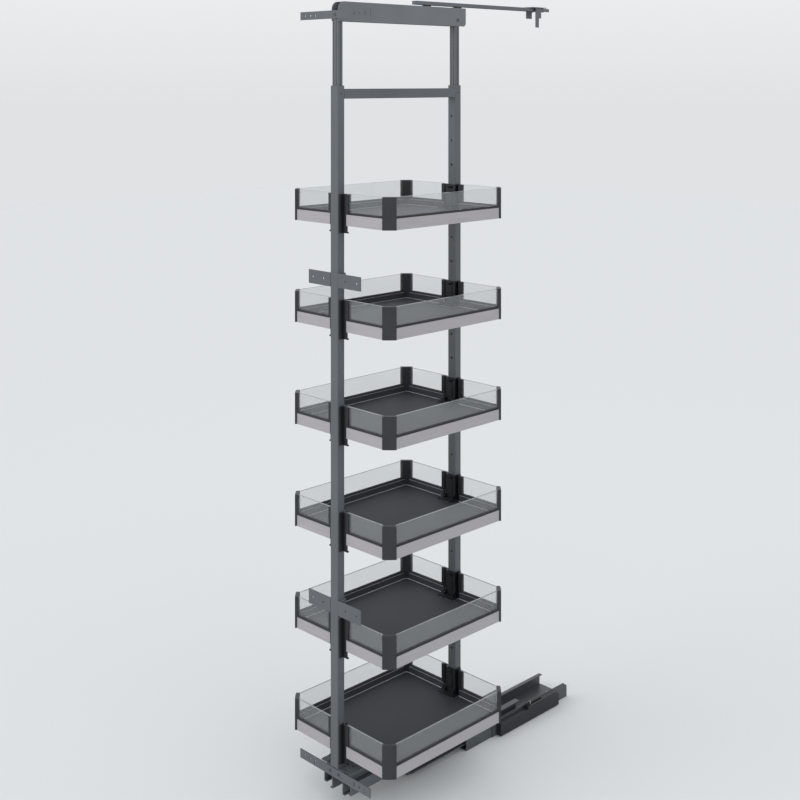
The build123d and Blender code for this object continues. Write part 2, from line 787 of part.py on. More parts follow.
def cut_corner_plate(inset, back, z0, z1):
    """A plate inside the tray; its cut corners stand back from the corner posts."""
    leg = tray_corner + (corner_post_gauge + back) * math.sqrt(2) - 2 * inset
    outline = cut_corner_plan(half_x - inset, half_y - inset, leg)
    face = make_face(Polyline(*outline, close=True).edges())
    return extrude(Plane.XY.offset(z0) * face, z1 - z0)


def upright_notches(margin, z0, z1):
    """What the two uprights and their clamps take out of a tray's floor."""
    x = upright_x / 2 + slide_gap + clamp_wall + side_arch_gauge + margin
    y = upright_inner - slide_gap - clamp_back - margin
    front = block(-x, x, -half_y - overrun, -y, z0 - overrun, z1 + overrun)
    rear = block(-x, x, y, half_y + overrun, z0 - overrun, z1 + overrun)
    return front + rear


def corner_post():
    """One corner post: a slab with a slightly rounded outer face, drawn facing -Y."""
    width = tray_corner * math.sqrt(2)
    g = corner_post_gauge
    front = ThreePointArc((-width / 2, 0), (0, -corner_post_bulge), (width / 2, 0))
    rest = Polyline((width / 2, 0), (width / 2, g), (-width / 2, g), (-width / 2, 0))
    face = make_face([front.edge(), *rest.edges()])
    post = extrude(face, corner_post_height)
    return fillet(post.faces().sort_by(Axis.Z)[-1].edges(), corner_post_round)


def corner_posts():
    """The four posts, each across a cut corner."""
    x, y = half_x - tray_corner / 2, half_y - tray_corner / 2
    turns = ((1, -1, 45), (1, 1, 135), (-1, 1, 225), (-1, -1, 315))
    return [Pos(sx * x, sy * y, 0) * Rot(0, 0, turn) * corner_post() for sx, sy, turn in turns]


def post_space():
    """The space that each corner post takes, and all beyond the cut corner it stands on."""
    width = tray_corner * math.sqrt(2)
    g = corner_post_gauge
    low, high = -corner_post_height, 2 * corner_post_height
    slab = block(-width / 2, width / 2, -width, g, low, high)
    slab += block(-2 * width, 2 * width, -width, 0, low, high)
    x, y = half_x - tray_corner / 2, half_y - tray_corner / 2
    turns = ((1, -1, 45), (1, 1, 135), (-1, 1, 225), (-1, -1, 315))
    return [Pos(sx * x, sy * y, 0) * Rot(0, 0, turn) * slab for sx, sy, turn in turns]


def trim_corners(shape):
    """Cut a bar or panel off where the corner posts stand."""
    for slab in post_space():
        shape -= slab
    return shape


def rail_section():
    """The tray rail's outline: inset from the tray's outer face, and height."""
    groove = rail_shoulder + glass_gauge + 2 * glass_gap
    floor = rail_height - rail_groove_depth
    ledge_in, ledge_high = rail_depth + rail_ledge, ledge_low + ledge_gauge
    return [(0, 0), (rail_depth, 0), (rail_depth, ledge_low), (ledge_in, ledge_low),
            (ledge_in, ledge_high), (rail_depth, ledge_high),
            (rail_depth, rail_height), (groove, rail_height),
            (groove, floor), (rail_shoulder, floor), (rail_shoulder, rail_height),
            (0, rail_height)]


def rail_bar(length):
    """A straight length of tray rail, outer face at y = 0, facing -Y and centred in X."""
    plane = Plane(origin=(-length / 2, 0, 0), x_dir=(0, 1, 0), z_dir=(1, 0, 0))
    face = make_face(Polyline(*rail_section(), close=True).edges())
    bar = extrude(plane * face, length)
    hollow_top = rail_height - rail_groove_depth - rail_wall
    return bar - block(-length, length, rail_wall, rail_depth - rail_wall, rail_wall, hollow_top)


def round_the_tray(make, short_from):
    """Six lengths round a tray: two sides, and two each in front and behind the uprights.

    make(length) draws a length facing -Y; short_from is where the short ones start in X.
    """
    side_length = tray_depth
    short = half_x - short_from
    pieces = []
    for sign, turn in ((1, 90), (-1, -90)):
        side = Pos(sign * (half_x - rail_inset), 0, 0) * Rot(0, 0, turn) * make(side_length)
        pieces.append(side)
    for sx in (-1, 1):
        x = sx * (short_from + short / 2)
        pieces.append(Pos(x, -half_y + rail_inset, 0) * make(short))
        pieces.append(Pos(x, half_y - rail_inset, 0) * Rot(0, 0, 180) * make(short))
    return [trim_corners(p) for p in pieces]


def tray_rails():
    """The rail lengths, with a gap for each upright."""
    return round_the_tray(rail_bar, clamp_notch / 2)


def liner_strip(length):
    """A strip that lines the inside of a rail."""
    return block(-length / 2, length / 2, rail_depth, rail_depth + liner_gauge, mat_low, liner_top)


def tray_pan():
    """The floor sheet, which lies on the rails' ledges, with a rim round the mat."""
    floor = cut_corner_plate(rail_inset + rail_depth, slide_gap, pan_low, mat_low)
    rim = cut_corner_plate(rim_inset, slide_gap, mat_low, mat_top + rim_over)
    rim -= cut_corner_plate(rim_inset + rim_gauge, slide_gap + rim_gauge,
                            mat_low - overrun, mat_top + overrun)
    return floor + rim - upright_notches(slide_gap, pan_low, mat_top)


def tray_lining():
    """The mat on the floor sheet, and the strips that line the rails above it."""
    inset = rim_inset + rim_gauge + mat_edge_gap
    mat = cut_corner_plate(inset, slide_gap + rim_gauge + mat_edge_gap, mat_low, mat_top)
    mat -= upright_notches(slide_gap, mat_low, mat_top)
    for end in (-1, 1):
        recess = Pos(0, 0, mat_low - overrun) * clamp_foot(mat_edge_gap, mat_gauge + 2 * overrun)
        mat -= Rot(0, 0, 90 - 90 * end) * recess
    return [mat, *round_the_tray(liner_strip, clamp_notch / 2)]


def glass_strip(length):
    """A glass panel that stands in the rail's groove."""
    inset = rail_shoulder + glass_gap
    return block(-length / 2, length / 2, inset, inset + glass_gauge,
                 rail_height - rail_groove_depth, glass_top)


def tray_glass():
    """The glass panels, whose ends go into the clamps' holders."""
    return round_the_tray(glass_strip, clamp_notch / 2 + holder_width - holder_over)


def arch(width, low, high, gauge):
    """A raised arch in X and Z, standing on a face that looks to +Y."""
    panel = block(-width / 2, width / 2, 0, gauge, low, high - width / 2)
    return panel + rod_y(width, 0, 0, gauge, high - width / 2)


def clamp_foot(margin, height):
    """The foot of the front clamp, grown by a margin, standing on z = 0."""
    y_back = -upright_inner + slide_gap + clamp_back
    x = foot_width / 2 + margin
    foot = block(-x, x, y_back - overrun, y_back + foot_length + margin, 0, height)
    return fillet(foot.edges().filter_by(Axis.Z).group_by(Axis.Y)[-1], foot_round)


def tray_clamp():
    """The clamp round the front upright, drawn where it stands; the rear one is turned."""
    x_in = upright_x / 2 + slide_gap
    x_out = x_in + clamp_wall
    y_in = -upright_inner + slide_gap
    y_back = y_in + clamp_back
    y_front = -upright_inner - clamp_wrap
    wing_x = clamp_notch / 2 - slide_gap
    wing_y = -half_y + wing_inset
    clamp = block(-x_out, x_out, y_front, y_back, -clamp_drop, clamp_top)
    clamp += block(-wing_x, wing_x, wing_y, wing_y + wing_gauge, -clamp_drop, clamp_top)
    holder_y = -half_y + rail_inset + rail_shoulder + glass_gap + glass_gauge / 2
    clamp += both_sides(wing_x - wing_gauge, wing_x + holder_width, holder_y - holder_depth / 2,
                        holder_y + holder_depth / 2, rail_height + slide_gap, clamp_top)
    clamp += both_sides(wing_x, wing_x + nub_reach, wing_y, wing_y + wing_gauge,
                        -clamp_drop, -clamp_drop + nub_height)
    clamp += Pos(0, 0, mat_top + rim_over + slide_gap) * clamp_foot(0, foot_gauge)
    clamp += Pos(0, y_back, 0) * arch(arch_width, arch_low, arch_high, arch_gauge)
    side_mid = (y_front + y_back) / 2
    side_arch = arch(side_arch_width, -clamp_drop + side_arch_width, arch_high, side_arch_gauge)
    clamp += Pos(x_out, side_mid, 0) * Rot(0, 0, -90) * side_arch
    clamp += Pos(-x_out, side_mid, 0) * Rot(0, 0, 90) * side_arch
    clamp -= block(-x_in, x_in, y_front - overrun, y_in, -clamp_drop - overrun, clamp_top + overrun)
    slot = glass_gauge + 2 * glass_gap
    glass_x = clamp_notch / 2 + holder_width - holder_over - glass_gap
    clamp -= both_sides(glass_x, half_x, holder_y - slot / 2, holder_y + slot / 2,
                        rail_height, glass_top + overrun)
    return clamp


def tray_clamps():
    """The front clamp and the rear one."""
    clamp = tray_clamp()
    return [clamp, Rot(0, 0, 180) * clamp]


def tray_level(number):
    """Height of a tray's underside; number 1 is the highest."""
    return lowest_tray_z + tray_step_holes * (tray_count - number) * hole_pitch


def write_trays():
    """Six like trays, numbered from the top, each level with a hanging hole."""
    makers = {"rails": tray_rails, "pan": tray_pan, "lining": tray_lining, "posts": corner_posts,
              "glass": tray_glass, "clamps": tray_clamps}
    for name, make in makers.items():
        made = make()
        solids = made if isinstance(made, list) else [made]
        for number in range(1, tray_count + 1):
            lift = Pos(0, -frame_out, tray_level(number))
            save(f"tray_{number}_{name}", *[lift * s for s in solids])


save("base_rail", base_rail())
save("damper_side_plate", side_plate())
save("damper_housing", damper_housing())
save("damper_cylinder", damper_cylinder())
save("damper_catch", *catch_pieces())
save("middle_rail", middle_rail())
for cage_name, (cage_strips, cage_balls) in (("lower_ball_cages", lower_cages()),
                                             ("upper_ball_cages", upper_cages())):
    save(cage_name, cage_strips, *cage_balls)
save("carriage_rail", at_frame(carriage_rail()))
save("front_upright", at_frame(upright(-1)))
save("rear_upright", at_frame(upright(1)))
save("cross_bar", at_frame(cross_bar()))
save("upper_door_plate", at_frame(door_plate(upper_plate_mid(), upper_door_plate_h)))
save("lower_door_plate", at_frame(door_plate(lower_plate_mid(), lower_door_plate_h)))
save("bottom_front_plate", at_frame(front_plate(bottom_plate_mid(), bottom_plate_height,
                                                -upright_spread / 2,
                                                (-plate_screw_x, plate_screw_x))))
save("frame_screws", *[at_frame(s) for s in frame_screws()])
save("front_inner_post", at_frame(inner_post(-1)))
save("rear_inner_post", at_frame(inner_post(1)))
save("top_beam", at_frame(top_beam()))
save("top_front_plate", at_frame(front_plate(top_plate_mid(), top_plate_height,
                                             top_plate_front, (0,))))
save("top_screws", *[at_frame(s) for s in top_screws()])
save("top_guide_blocks", at_frame(guide_block(guide_front_y)), at_frame(guide_block(guide_rear_y)))
save("top_rail", top_rail())
save("top_rail_bracket", top_rail_bracket())
write_trays()
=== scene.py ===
# %% [markdown]
# # A pull out pantry frame
# This lesson dresses a tall pull out frame for a kitchen cabinet. The engineering model comes first:
# it is loaded as a fixed frame of named nodes, grouped into bodies that slide. We never move those nodes.
# We give each of them a finish, and add the small visible pieces that an engineering model leaves out.

# %% Load the fixed frame
import json
import math
import bpy
import bmesh
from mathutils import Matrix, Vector


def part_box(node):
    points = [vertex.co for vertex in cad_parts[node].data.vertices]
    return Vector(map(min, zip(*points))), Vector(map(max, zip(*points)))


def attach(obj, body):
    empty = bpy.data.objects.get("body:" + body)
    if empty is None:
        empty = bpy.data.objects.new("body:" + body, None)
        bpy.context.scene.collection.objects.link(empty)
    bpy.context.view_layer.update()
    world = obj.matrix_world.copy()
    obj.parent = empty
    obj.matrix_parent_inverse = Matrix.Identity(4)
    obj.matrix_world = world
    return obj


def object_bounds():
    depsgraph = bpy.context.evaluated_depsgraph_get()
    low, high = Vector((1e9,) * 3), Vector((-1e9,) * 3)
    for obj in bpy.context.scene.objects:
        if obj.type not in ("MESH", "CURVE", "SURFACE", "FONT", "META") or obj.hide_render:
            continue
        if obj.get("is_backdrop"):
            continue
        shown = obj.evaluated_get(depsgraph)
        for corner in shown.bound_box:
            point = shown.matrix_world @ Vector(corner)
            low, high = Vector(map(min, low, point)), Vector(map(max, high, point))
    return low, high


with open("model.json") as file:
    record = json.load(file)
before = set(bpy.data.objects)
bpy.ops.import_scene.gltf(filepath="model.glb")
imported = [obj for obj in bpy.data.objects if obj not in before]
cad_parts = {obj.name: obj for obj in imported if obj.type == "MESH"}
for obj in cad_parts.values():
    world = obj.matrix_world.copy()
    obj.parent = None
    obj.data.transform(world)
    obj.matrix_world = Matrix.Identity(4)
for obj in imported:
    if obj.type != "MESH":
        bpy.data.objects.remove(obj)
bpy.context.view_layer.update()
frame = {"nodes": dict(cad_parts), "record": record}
nodes = frame["nodes"]

# %% [markdown]
# Every finish starts as a Principled shader. What is the same all over, such as metalness, is a number on
# the shader. What varies, such as the grain of a powder coat, comes from noise that is fixed to the object.
# One helper makes the shader and the coordinates, so that each finish only says what is special to it.

# %% A shader and its noise
MM = 0.001
finishes = {}


def shader(name, colour, roughness, metallic=0.0):
    """Makes a material: returns its node tree, its Principled shader and object coordinates."""
    mat = bpy.data.materials.new(name)
    mat.use_nodes = True
    tree = mat.node_tree
    bsdf = tree.nodes["Principled BSDF"]
    bsdf.inputs["Base Color"].default_value = (*colour, 1)
    bsdf.inputs["Roughness"].default_value = roughness
    bsdf.inputs["Metallic"].default_value = metallic
    mat.diffuse_color = (*colour, 1)
    coords = tree.nodes.new("ShaderNodeTexCoord")
    finishes[name] = mat
    return tree, bsdf, coords.outputs["Object"]


def noise(tree, coords, scale, detail=3.0, stretch=(1, 1, 1)):
    """Noise fixed to the object; stretch squeezes it along an axis."""
    mapping = tree.nodes.new("ShaderNodeMapping")
    mapping.inputs["Scale"].default_value = stretch
    tex = tree.nodes.new("ShaderNodeTexNoise")
    tex.inputs["Scale"].default_value = scale
    tex.inputs["Detail"].default_value = detail
    tree.links.new(coords, mapping.inputs["Vector"])
    tree.links.new(mapping.outputs["Vector"], tex.inputs["Vector"])
    return tex.outputs["Fac"]


print("a shader with noise is ready")

# %% [markdown]
# A noise value can do three things on a surface: change its gloss, tilt it, or paint it between two tones.
# Each has a small helper, and all of them take any value from 0 to 1, so that one grain can do all three.

# %% What noise can do
DARK_END, LIGHT_START = 0.3, 0.7                # between them, one tone fades into the other


def spread(tree, value, low, high):
    """Maps a 0 to 1 value to a range."""
    node = tree.nodes.new("ShaderNodeMapRange")
    node.inputs["To Min"].default_value = low
    node.inputs["To Max"].default_value = high
    tree.links.new(value, node.inputs["Value"])
    return node.outputs["Result"]


def bump(tree, bsdf, height, strength, distance):
    """Lets a height pattern tilt the surface."""
    node = tree.nodes.new("ShaderNodeBump")
    node.inputs["Strength"].default_value = strength
    node.inputs["Distance"].default_value = distance
    tree.links.new(height, node.inputs["Height"])
    tree.links.new(node.outputs["Normal"], bsdf.inputs["Normal"])


def tint(tree, bsdf, value, dark, light):
    """Paints the base colour between two tones."""
    ramp = tree.nodes.new("ShaderNodeValToRGB")
    ramp.color_ramp.elements[0].position = DARK_END
    ramp.color_ramp.elements[1].position = LIGHT_START
    ramp.color_ramp.elements[0].color = (*dark, 1)
    ramp.color_ramp.elements[1].color = (*light, 1)
    tree.links.new(value, ramp.inputs["Fac"])
    tree.links.new(ramp.outputs["Color"], bsdf.inputs["Base Color"])


def shade(colour, factor):
    """A colour made lighter or darker."""
    return tuple(min(1.0, c * factor) for c in colour)


print("gloss, bump and tone helpers are ready")

# %% [markdown]
# The frame's steel has a satin powder coat. Powder melts into a skin like fine orange peel, so we need a
# bump with waves of about a millimetre, and a slow change of tone that keeps the long tubes from looking
# printed. A photo of a coat could do it, but noise has no seams and works at any size.

# %% Powder coats


def powder_coat(name, colour, roughness):
    """A satin coat: slow changes of tone and gloss, and fine orange peel."""
    tree, bsdf, coords = shader(name, colour, roughness)
    tone = noise(tree, coords, scale=9.0)
    tint(tree, bsdf, tone, dark=shade(colour, 0.93), light=shade(colour, 1.07))
    patches = noise(tree, coords, scale=60.0)
    gloss = spread(tree, patches, low=roughness - 0.06, high=roughness + 0.06)
    tree.links.new(gloss, bsdf.inputs["Roughness"])
    peel = noise(tree, coords, scale=1100.0, detail=2.0)
    bump(tree, bsdf, peel, strength=0.12, distance=0.1 * MM)


powder_coat("frame_grey", (0.096, 0.106, 0.118), roughness=0.42)
powder_coat("beam_grey", (0.140, 0.153, 0.168), roughness=0.42)
powder_coat("runner_grey", (0.063, 0.070, 0.079), roughness=0.38)
powder_coat("post_dark", (0.103, 0.113, 0.129), roughness=0.40)
print("powder coats:", ", ".join(finishes))

# %% [markdown]
# The tray rails are anodised aluminium in a warm, pinkish grey. Drawing and brushing leave fine lines along
# the bar. Squeezed noise makes them: it is stretched in the level directions and tight in height, so the
# lines run level on all four sides of a tray.

# %% Metals


def brushed(name, colour, roughness, metallic, stretch):
    """A metal with fine lines, which lie close together along the axes with a large stretch."""
    tree, bsdf, coords = shader(name, colour, roughness, metallic)
    lines = noise(tree, coords, scale=12.0, detail=4.0, stretch=stretch)
    tint(tree, bsdf, lines, dark=shade(colour, 0.90), light=shade(colour, 1.08))
    gloss = spread(tree, lines, low=roughness - 0.08, high=roughness + 0.08)
    tree.links.new(gloss, bsdf.inputs["Roughness"])
    bump(tree, bsdf, lines, strength=0.08, distance=0.05 * MM)


brushed("tray_rail", (0.400, 0.381, 0.399), roughness=0.42, metallic=0.25, stretch=(1, 1, 90))
brushed("pan_steel", (0.78, 0.78, 0.80), roughness=0.35, metallic=0.1, stretch=(30, 1, 30))
brushed("bright_steel", (0.56, 0.56, 0.57), roughness=0.28, metallic=0.9, stretch=(20, 20, 20))
brushed("dark_steel", (0.14, 0.15, 0.16), roughness=0.35, metallic=0.6, stretch=(20, 20, 20))
print("metals done")

# %% [markdown]
# Black moulded plastic makes the corner posts, the clamps and the damper. Its tool is spark-eroded, so the
# skin has a fine, even grain and a soft gloss. The seals round the glass are softer and duller.

# %% Plastics


def moulded(name, colour, roughness, grain):
    """A moulded skin; grain is the scale of its fine bump."""
    tree, bsdf, coords = shader(name, colour, roughness)
    tone = noise(tree, coords, scale=25.0)
    tint(tree, bsdf, tone, dark=shade(colour, 0.85), light=shade(colour, 1.15))
    skin = noise(tree, coords, scale=grain, detail=2.0)
    bump(tree, bsdf, skin, strength=0.2, distance=0.08 * MM)


moulded("black_plastic", (0.020, 0.022, 0.025), roughness=0.38, grain=1600.0)
moulded("clamp_black", (0.007, 0.008, 0.010), roughness=0.45, grain=1600.0)
moulded("damper_plastic", (0.013, 0.014, 0.017), roughness=0.50, grain=1600.0)
moulded("seal_rubber", (0.014, 0.014, 0.015), roughness=0.6, grain=900.0)
moulded("pale_plastic", (0.45, 0.45, 0.46), roughness=0.45, grain=1400.0)
# painted shade: this dark finish stands in for the shade inside the screws' sockets
moulded("painted_socket_shade", (0.008, 0.008, 0.009), roughness=0.7, grain=900.0)
print("plastics done")

# %% [markdown]
# The mats are dark rubber with a grid of small raised dots that stop goods from sliding. The dots could be
# modelled, but there are thousands. A Voronoi texture with no randomness is an even grid of points, and the
# distance to the nearest one, cut off sharply, gives round dots for both the colour and the bump.

# %% The dotted mat
MAT_TONE = (0.022, 0.023, 0.027)
DOT_PITCH = 6 * MM
DOT_EDGE, DOT_END = 0.50, 0.62                  # a dot fades between them, in shares of the pitch
tree, bsdf, coords = shader("mat_grey", MAT_TONE, roughness=0.62)
dots = tree.nodes.new("ShaderNodeTexVoronoi")
dots.inputs["Scale"].default_value = 1 / DOT_PITCH
dots.inputs["Randomness"].default_value = 0.0
tree.links.new(coords, dots.inputs["Vector"])
edge = tree.nodes.new("ShaderNodeMapRange")
edge.inputs["From Min"].default_value = DOT_EDGE
edge.inputs["From Max"].default_value = DOT_END
edge.inputs["To Min"].default_value = 1.0
edge.inputs["To Max"].default_value = 0.0
tree.links.new(dots.outputs["Distance"], edge.inputs["Value"])
tint(tree, bsdf, edge.outputs["Result"], dark=shade(MAT_TONE, 0.8), light=shade(MAT_TONE, 1.7))
bump(tree, bsdf, edge.outputs["Result"], strength=0.15, distance=0.15 * MM)
print(f"dots every {DOT_PITCH / MM:.0f} mm")

# %% [markdown]
# The trays' sides are clear glass, 4 mm thick. Seen against a pale room it nearly vanishes, and seen against
# the dark mat it shows as a grey veil with bright reflections. True refraction would darken the mats under
# it with hard shadows, so the panels are mostly see-through, with a glossy surface, and their pale colour is
# a painted reflection that makes the grey veil. The cut edges let the eye look along the glass, so they are
# duller and greener, and are pieces of their own.

# %% Glass
tree, bsdf, coords = shader("clear_glass", (0.52, 0.55, 0.57), roughness=0.03)
# painted reflection: the pale base colour, shown at this low alpha, paints the grey veil of room light
bsdf.inputs["Alpha"].default_value = 0.155
bsdf.inputs["Specular IOR Level"].default_value = 0.8
waves = noise(tree, coords, scale=3.0, detail=1.0)
bump(tree, bsdf, waves, strength=0.02, distance=0.5 * MM)
tree, bsdf, coords = shader("glass_edge", (0.30, 0.33, 0.34), roughness=0.15)
greens = noise(tree, coords, scale=40.0)
tint(tree, bsdf, greens, dark=(0.27, 0.30, 0.31), light=(0.34, 0.37, 0.38))
print(len(finishes), "finishes")

# %% [markdown]
# Now each CAD node gets its finish. The record names a material slot for every node, and most slots have a
# finish of the same name. The photograph shows a few differences, such as a paler top beam and clamps of a
# deeper black, so two short tables name the finishes that differ, for a whole slot or for one node.

# %% Dress the CAD nodes
TRAYS = range(1, 7)                             # six trays, numbered from the top
slot_of = {part["node"]: part["material_slot"] for part in frame["record"]["subparts"]}
finish_of_slot = {"zinc_grey": "runner_grey"}
finish_of_node = {"top_beam": "beam_grey", "damper_housing": "damper_plastic",
                  "frame_screws": "dark_steel", "top_screws": "dark_steel"}
for number in TRAYS:
    finish_of_node[f"tray_{number}_clamps"] = "clamp_black"
for name, node in nodes.items():
    slot_name = slot_of[name]
    finish = finish_of_node.get(name, finish_of_slot.get(slot_name, slot_name))
    node.data.materials.clear()
    node.data.materials.append(finishes[finish])
print(len(nodes), "nodes dressed")

# %% [markdown]
# The added pieces are made in mesh code from two kinds of solid. A prism is an outline pushed along an axis:
# strips, ribs and seals are prisms. A turned solid is a profile spun round an axis: rivets and sockets are
# turned. Each helper returns plain vertices and faces, so that many can be joined into one piece.

# %% Prisms and turned solids
AXES = {"X": (1, 2, 0), "Y": (0, 2, 1)}


def prism(outline, axis, start, end):
    """An outline in the two other axes, pushed along an axis; all in metres."""
    a, b, c = AXES[axis]
    count = len(outline)
    verts = []
    for place in (start, end):
        for u, v in outline:
            p = [0.0, 0.0, 0.0]
            p[a], p[b], p[c] = u, v, place
            verts.append(tuple(p))
    faces = [tuple(range(count)), tuple(range(2 * count - 1, count - 1, -1))]
    for i in range(count):
        j = (i + 1) % count
        faces.append((i, i + count, j + count, j))
    return verts, faces


def turned(profile, centre, direction, segments=24):
    """A profile of (radius, height) points spun round a direction; it starts and ends on the axis."""
    turn = Vector((0, 0, 1)).rotation_difference(Vector(direction)).to_matrix()
    verts, faces, rings = [], [], []
    for radius, height in profile:
        if radius == 0:
            rings.append([len(verts)])
            verts.append(Vector((0, 0, height)))
            continue
        rings.append(list(range(len(verts), len(verts) + segments)))
        for i in range(segments):
            angle = 2 * math.pi * i / segments
            verts.append(Vector((radius * math.cos(angle), radius * math.sin(angle), height)))
    for low, high in zip(rings, rings[1:]):
        for i in range(segments):
            j = (i + 1) % segments
            if len(low) == 1:
                faces.append((low[0], high[j], high[i]))
            elif len(high) == 1:
                faces.append((low[i], low[j], high[0]))
            else:
                faces.append((low[i], low[j], high[j], high[i]))
    return [tuple(turn @ v + Vector(centre)) for v in verts], faces


def placed(outline, across, up):
    """An outline written in millimetres, moved to a place in metres."""
    return [(across + u * MM, up + v * MM) for u, v in outline]


print("prisms along", " and ".join(AXES))

# %% [markdown]
# A row of rivets or a set of seals is one piece, so its solids are joined into one mesh. Joined solids need
# normals that all point out, and edges that are a little soft catch the light as real ones do. The piece
# then rides on a body, so that it slides with it, and is painted with its finish.

# %% Pieces from solids


def piece(name, solids, finish, body, bevel=0.0):
    """Joins solids into one object with clean normals and softened edges, riding on a body."""
    verts, faces = [], []
    for solid_verts, solid_faces in solids:
        first = len(verts)
        verts += solid_verts
        faces += [tuple(first + i for i in face) for face in solid_faces]
    mesh = bpy.data.meshes.new(name)
    mesh.from_pydata(verts, [], faces)
    shape = bmesh.new()
    shape.from_mesh(mesh)
    bmesh.ops.recalc_face_normals(shape, faces=shape.faces)
    shape.to_mesh(mesh)
    shape.free()
    mesh.materials.append(finishes[finish])
    obj = bpy.data.objects.new(name, mesh)
    bpy.context.scene.collection.objects.link(obj)
    if bevel:
        soft = obj.modifiers.new("soft_edges", "BEVEL")
        soft.width = bevel
        soft.segments = 2
        soft.limit_method = "ANGLE"
    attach(obj, body)


def half_turned(solids, centre_y):
    """The same solids turned half round about the upright axis through x = 0 and centre_y."""
    return [([(-x, 2 * centre_y - y, z) for x, y, z in verts], faces) for verts, faces in solids]


print("piece helpers ready")

# %% [markdown]
# Each tray's glass stands in a black seal that grips it on both faces. The seal is a small wedge in section,
# so water runs off it. The six trays are alike, so the top one's boxes give the sizes in plan, and each
# tray's own box gives its height: the seals follow the trays wherever the CAD puts them.

# %% Seals of the glass
GLASS_GAUGE = 4 * MM
SEAL_HEIGHT, SEAL_DEPTH, SEAL_TIP = 5.0 * MM, 1.5 * MM, 0.4 * MM
CLAMP_GAP = 0.4 * MM                            # between a seal and the clamp's holder
CORNER = 20 * MM                                # about what a corner post takes of each side
CORNER_GAP, OUTER_SHORT = 3.3 * MM, 4 * MM      # seals stop before it, and outer seals earlier still
X, Y, Z = range(3)


def middle(node, axis):
    """The middle of a CAD node's box along an axis."""
    low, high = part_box(node)
    return (low[axis] + high[axis]) / 2


rails_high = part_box("tray_1_rails")[1]
mid_y = middle("tray_1_rails", Y)
half_x, half_y = rails_high.x, rails_high.y - mid_y
outer_face = half_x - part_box("tray_1_glass")[1].x   # how far the glass's faces lie inside the rails'
inner_face = outer_face + GLASS_GAUGE


def seal_outline(face, way, low):
    """A wedge on a face of the glass, as insets and heights; way is -1 outside the glass and 1 inside."""
    foot, tip = face + way * SEAL_DEPTH, face + way * SEAL_TIP
    waist, top = low + 0.5 * SEAL_HEIGHT, low + SEAL_HEIGHT
    return [(face, low), (foot, low), (foot, waist), (tip, top), (face, top)]


def glass_seals(number):
    """The seals on both faces of a tray's glass, standing on the rails."""
    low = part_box(f"tray_{number}_rails")[1].z
    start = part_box(f"tray_{number}_clamps")[1].x + CLAMP_GAP
    solids = []
    for sign in (-1, 1):
        for face, way, short in ((outer_face, -1, OUTER_SHORT), (inner_face, 1, 0.0)):
            run_y = half_y - CORNER - CORNER_GAP - short
            run_x = half_x - CORNER - CORNER_GAP - short
            outline = seal_outline(face, way, low)
            side = [(sign * (half_x - inset), z) for inset, z in outline]
            solids.append(prism(side, "Y", mid_y - run_y, mid_y + run_y))
            front = [(mid_y + sign * (half_y - inset), z) for inset, z in outline]
            for end in (-1, 1):
                solids.append(prism(front, "X", end * start, end * run_x))
    return solids


print(f"glass between {outer_face / MM:.2f} and {inner_face / MM:.2f} mm inside the rails' outer faces")

# %% [markdown]
# The glass's top edge is cut and polished, and shows as a fine line round the tray. A thin strip on each
# panel stands for it, because one material can't tell a panel's edge from its faces.

# %% Polished edges of the glass
EDGE_GAUGE = 0.3 * MM
GLASS_START = 31.2 * MM                         # where the glass comes out of the clamp, from the middle


def strip_outline(a, b, low):
    """A flat strip's section between two places across it."""
    return [(a, low), (b, low), (b, low + EDGE_GAUGE), (a, low + EDGE_GAUGE)]


def glass_edges(number):
    """The strips on the top edges of a tray's six panels."""
    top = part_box(f"tray_{number}_glass")[1].z
    run_y, run_x = half_y - CORNER - inner_face, half_x - CORNER - inner_face
    solids = []
    for sign in (-1, 1):
        xs = sorted(sign * (half_x - face) for face in (outer_face, inner_face))
        ys = sorted(mid_y + sign * (half_y - face) for face in (outer_face, inner_face))
        solids.append(prism(strip_outline(*xs, top), "Y", mid_y - run_y, mid_y + run_y))
        for end in (-1, 1):
            solids.append(prism(strip_outline(*ys, top), "X", end * GLASS_START, end * run_x))
    return solids


for number in TRAYS:
    tray = f"tray_{number}"
    piece(f"{tray}_glass_seals", glass_seals(number), "seal_rubber", tray)
    piece(f"{tray}_glass_edges", glass_edges(number), "glass_edge", tray)
print("seals and edges on", len(TRAYS), "trays")

# %% [markdown]
# The clamp inside each upright has a lever that a thumb presses to lift the tray off. It has grip ribs
# and a curled lip, and two gussets stiffen the clamp's foot. The front and rear clamps are the same
# moulding, so the rear set is the front set turned half round.

# %% Clamp details
RAIL_DEPTH = 14 * MM                            # the clamp's back lies on the rail's inner face
FOOT_TOP = 15.6 * MM                            # above the rail's underside
GRIP_RIBS, RIB_LOW, RIB_STEP = 4, 30 * MM, 4 * MM
RIB_HALF, LIP_HALF = 5 * MM, 7 * MM
GUSSET_STARTS, GUSSET_GAUGE = (-15.5 * MM, 14.0 * MM), 1.5 * MM

# Outlines in millimetres: how far inwards from the clamp's back, and how high
RIB = ((0.8, 0), (2.1, 0.4), (2.1, 1.2), (0.8, 1.6))
LIP = ((-0.5, 65), (1.5, 66), (4.2, 70), (4.4, 72), (3.2, 72.4), (1.0, 70), (-0.5, 70))
GUSSET = ((-0.5, -0.5), (12, -0.5), (3, 9), (-0.5, 16))


def clamp_details(number):
    """The ribs, the lip and the gussets of a tray's two clamps."""
    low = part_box(f"tray_{number}_rails")[0]
    back = low.y + RAIL_DEPTH
    solids = []
    for row in range(GRIP_RIBS):
        rib = placed(RIB, back, low.z + RIB_LOW + row * RIB_STEP)
        solids.append(prism(rib, "X", -RIB_HALF, RIB_HALF))
    solids.append(prism(placed(LIP, back, low.z), "X", -LIP_HALF, LIP_HALF))
    for x in GUSSET_STARTS:
        gusset = placed(GUSSET, back, low.z + FOOT_TOP)
        solids.append(prism(gusset, "X", x, x + GUSSET_GAUGE))
    return solids + half_turned(solids, mid_y)


